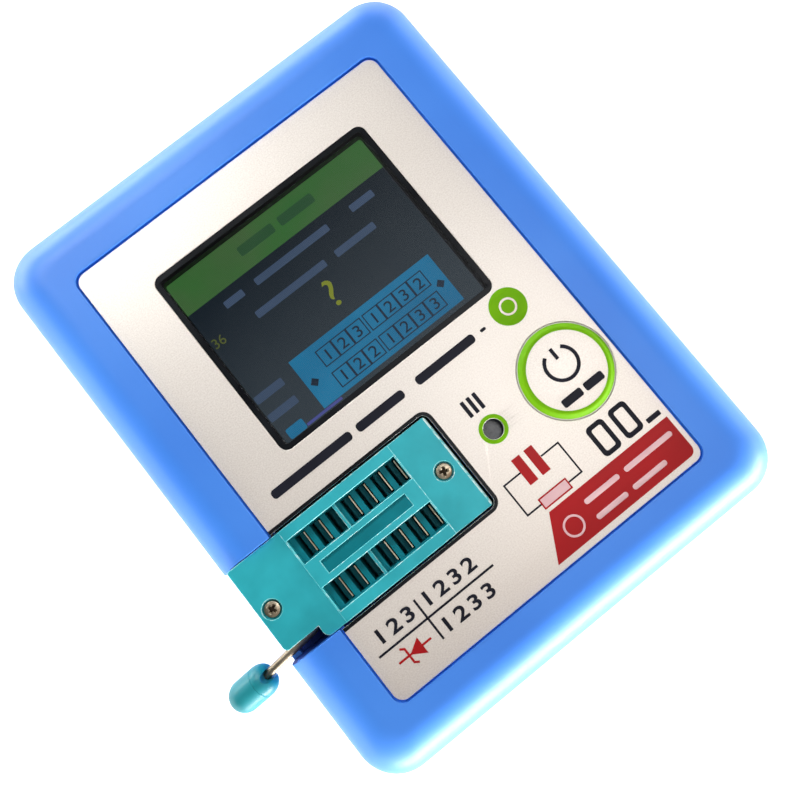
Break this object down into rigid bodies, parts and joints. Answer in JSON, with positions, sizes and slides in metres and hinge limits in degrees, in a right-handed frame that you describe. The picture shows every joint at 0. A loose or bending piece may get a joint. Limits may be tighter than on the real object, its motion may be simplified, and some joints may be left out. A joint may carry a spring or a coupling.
{
  "type": "component tester",
  "caption": "Pocket electronic component tester: rounded two-part case, printed front panel, colour display, zero-force test socket with cam lever, push button and infrared window.",
  "frame": {"origin": "centre of the case's flat back face, which it rests on", "axes": "+Z out of the front panel, +Y towards the display end, +X to the display's right"},
  "size_m": [0.0805, 0.0894, 0.0273],
  "materials": {
    "case_blue": "soft matte moulded plastic",
    "panel_silver": "satin champagne-silver printed film",
    "window_clear": "clear acrylic",
    "black_plastic": "fine matte",
    "lcd_glass": "dark polariser under glass",
    "white_plastic": "satin",
    "foam": "closed-cell foam",
    "amber_film": "polyimide film",
    "board_green": "solder mask",
    "steel": "zinc plated",
    "smoke_filter": "smoked filter plastic",
    "socket_teal": "satin glass-filled moulding",
    "contact_gold": "gold plated",
    "nickel": "nickel plated",
    "battery_foil": "foil pouch",
    "wire_red": "insulation",
    "wire_black": "insulation"
  },
  "bodies": {
    "case": {"upper_shell": "case_blue", "lower_shell": "case_blue", "faceplate": "panel_silver", "display_window": "window_clear", "lcd_frame": "black_plastic", "lcd_panel": "lcd_glass", "lcd_backlight": "white_plastic", "lcd_foam": "foam", "lcd_ribbon": "amber_film", "circuit_board": "board_green", "microcontroller": "black_plastic", "crystal": "steel", "boost_inductor": "black_plastic", "charge_chip": "black_plastic", "usb_port": "steel", "ir_window": "smoke_filter", "ir_receiver": "black_plastic", "switch_body": "black_plastic", "socket_base": "socket_teal", "socket_cover": "socket_teal", "socket_contact_1": "contact_gold", "socket_contact_2": "contact_gold", "socket_contact_3": "contact_gold", "socket_contact_4": "contact_gold", "socket_contact_5": "contact_gold", "socket_contact_6": "contact_gold", "socket_contact_7": "contact_gold", "socket_contact_8": "contact_gold", "socket_contact_9": "contact_gold", "socket_contact_10": "contact_gold", "socket_contact_11": "contact_gold", "socket_contact_12": "contact_gold", "socket_contact_13": "contact_gold", "socket_contact_14": "contact_gold", "socket_screw_left": "nickel", "socket_screw_right": "nickel", "battery_cell": "battery_foil", "battery_tape": "foam", "battery_connector": "white_plastic", "battery_lead_red": "wire_red", "battery_lead_black": "wire_black", "case_screw_1": "steel", "case_screw_2": "steel", "case_screw_3": "steel", "case_screw_4": "steel", "board_screw_1": "steel", "board_screw_2": "steel", "board_screw_3": "steel", "board_screw_4": "steel"},
    "button": {"test_button": "panel_silver"},
    "plunger": {"switch_plunger": "black_plastic"},
    "lever": {"lever_rod": "nickel", "lever_handle": "socket_teal"},
    "slider": {"socket_slider": "socket_teal"}
  },
  "joints": [
    {"name": "test_button_press", "type": "slide", "parent": "case", "child": "button", "axis": [0, 0, -1], "range_m": [0, 0.0005], "stiffness_N_per_m": 400, "springref_m": -0.0005},
    {"name": "switch_plunger_press", "type": "slide", "parent": "case", "child": "plunger", "axis": [0, 0, -1], "range_m": [0, 0.0005]},
    {"name": "lever_turn", "type": "hinge", "parent": "case", "child": "lever", "pos_m": [-0.02912, -0.01615, 0.0216], "axis": [0, 1, 0], "range_deg": [0, 90]},
    {"name": "slider_travel", "type": "slide", "parent": "case", "child": "slider", "axis": [1, 0, 0], "range_m": [0, 0.0008]}
  ],
  "couplings": [
    {"joint": "switch_plunger_press", "follows": "test_button_press", "ratio": 1},
    {"joint": "lever_turn", "follows": "slider_travel", "rad_per_m": 1963.5}
  ]
}
